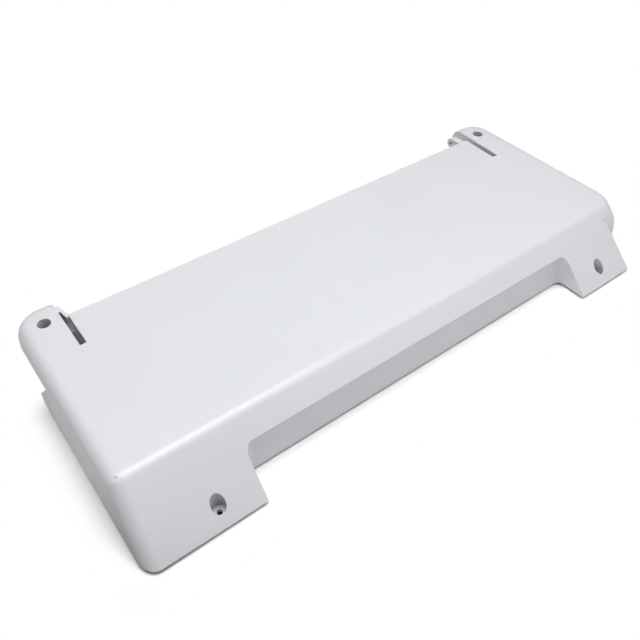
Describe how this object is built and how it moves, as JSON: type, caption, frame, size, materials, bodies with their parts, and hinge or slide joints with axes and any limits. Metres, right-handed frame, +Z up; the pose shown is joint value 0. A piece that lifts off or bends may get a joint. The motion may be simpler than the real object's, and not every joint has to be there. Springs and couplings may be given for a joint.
{
  "type": "moulded plastic cover housing",
  "caption": "Long shallow moulded cover, open underneath and behind, with a sloping front, legs with sunk screw pockets and rear screw ears.",
  "frame": {"origin": "middle of the footprint, on the plane that the rim stands on", "axes": "+X along the length, towards the end with the hinge knuckle; +Y to the rear, where the ears are; +Z up"},
  "size_m": [0.4518, 0.1976, 0.041],
  "materials": {
    "moulding": "smooth satin, cool white"
  },
  "bodies": {
    "root": {"housing": "moulding"}
  },
  "joints": []
}
